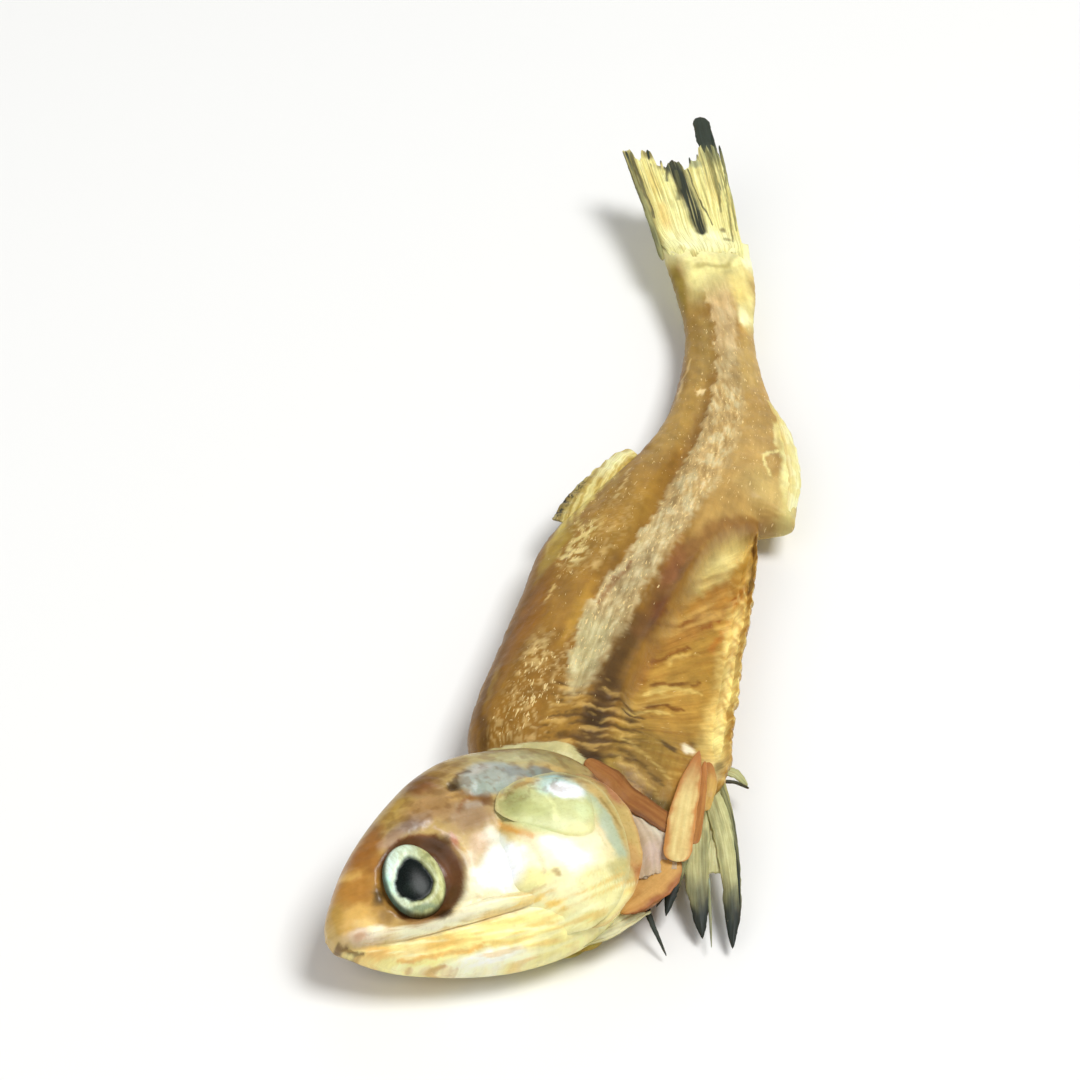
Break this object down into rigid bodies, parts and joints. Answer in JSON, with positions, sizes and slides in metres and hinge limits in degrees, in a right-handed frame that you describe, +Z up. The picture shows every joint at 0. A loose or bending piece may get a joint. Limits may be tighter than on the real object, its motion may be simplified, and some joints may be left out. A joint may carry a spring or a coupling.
{
  "type": "dried anchovy",
  "caption": "Whole sun-dried anchovy lying on its flank, head bent back, with sunken belly, silver stripe and stiff fins",
  "frame": {"origin": "the middle of the footprint's box, on the surface that the fish lies on", "axes": "+X to the belly side, +Y to the tail, +Z up out of the left flank"},
  "size_m": [0.0299, 0.0721, 0.0075],
  "materials": {
    "flesh": "dry, waxy, golden brown",
    "head": "pearly, thin bone over amber skin",
    "eye": "glassy, silver ring round a dark pupil",
    "fin": "dry translucent rays with dark tips"
  },
  "bodies": {
    "root": {"anchovy": "flesh"}
  },
  "joints": []
}
